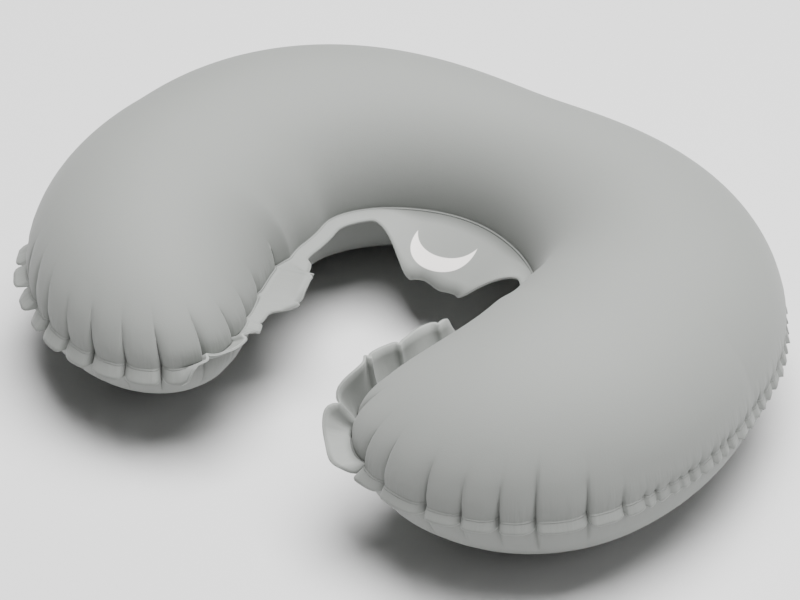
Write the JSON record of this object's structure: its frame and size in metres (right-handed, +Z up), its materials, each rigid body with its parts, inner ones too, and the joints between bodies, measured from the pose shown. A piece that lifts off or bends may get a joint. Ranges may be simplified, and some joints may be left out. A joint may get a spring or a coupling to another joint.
{
  "type": "u shaped neck pillow",
  "caption": "Inflatable U-shaped neck pillow: two welded fabric sheets, a flat label tab and a two-stage air valve.",
  "frame": {"origin": "below the middle of the pillow, on the surface that it lies on", "axes": "+Z up, +Y towards the closed end behind the neck, arms towards -Y, +X across the arms"},
  "size_m": [0.3986, 0.2828, 0.1121],
  "materials": {
    "coated_fabric": "matte",
    "valve_plastic": "satin",
    "silicone": "satin"
  },
  "bodies": {
    "cushion": {"upper_panel": "coated_fabric", "lower_panel": "coated_fabric", "valve_base": "valve_plastic", "plug_strap": "valve_plastic"},
    "plug": {"deflation_plug": "valve_plastic", "cap_strap": "valve_plastic"},
    "flap": {"check_disc": "silicone"},
    "cap": {"port_cap": "valve_plastic"}
  },
  "joints": [
    {"name": "plug_hinge", "type": "hinge", "parent": "cushion", "child": "plug", "pos_m": [-0.17325, 0.02716, 0.0185], "axis": [0.675, -0.1027, -0.7306], "range_deg": [0, 150], "deforming": ["plug_strap"]},
    {"name": "cap_hinge", "type": "hinge", "parent": "plug", "child": "cap", "pos_m": [-0.17722, 0.00592, 0.01782], "axis": [-0.675, 0.1027, 0.7306], "range_deg": [0, 140], "deforming": ["cap_strap"]},
    {"name": "flap_lift", "type": "slide", "parent": "plug", "child": "flap", "axis": [0.7223, -0.1099, 0.6828], "range_m": [0, 0.001], "stiffness_N_per_m": 5}
  ]
}
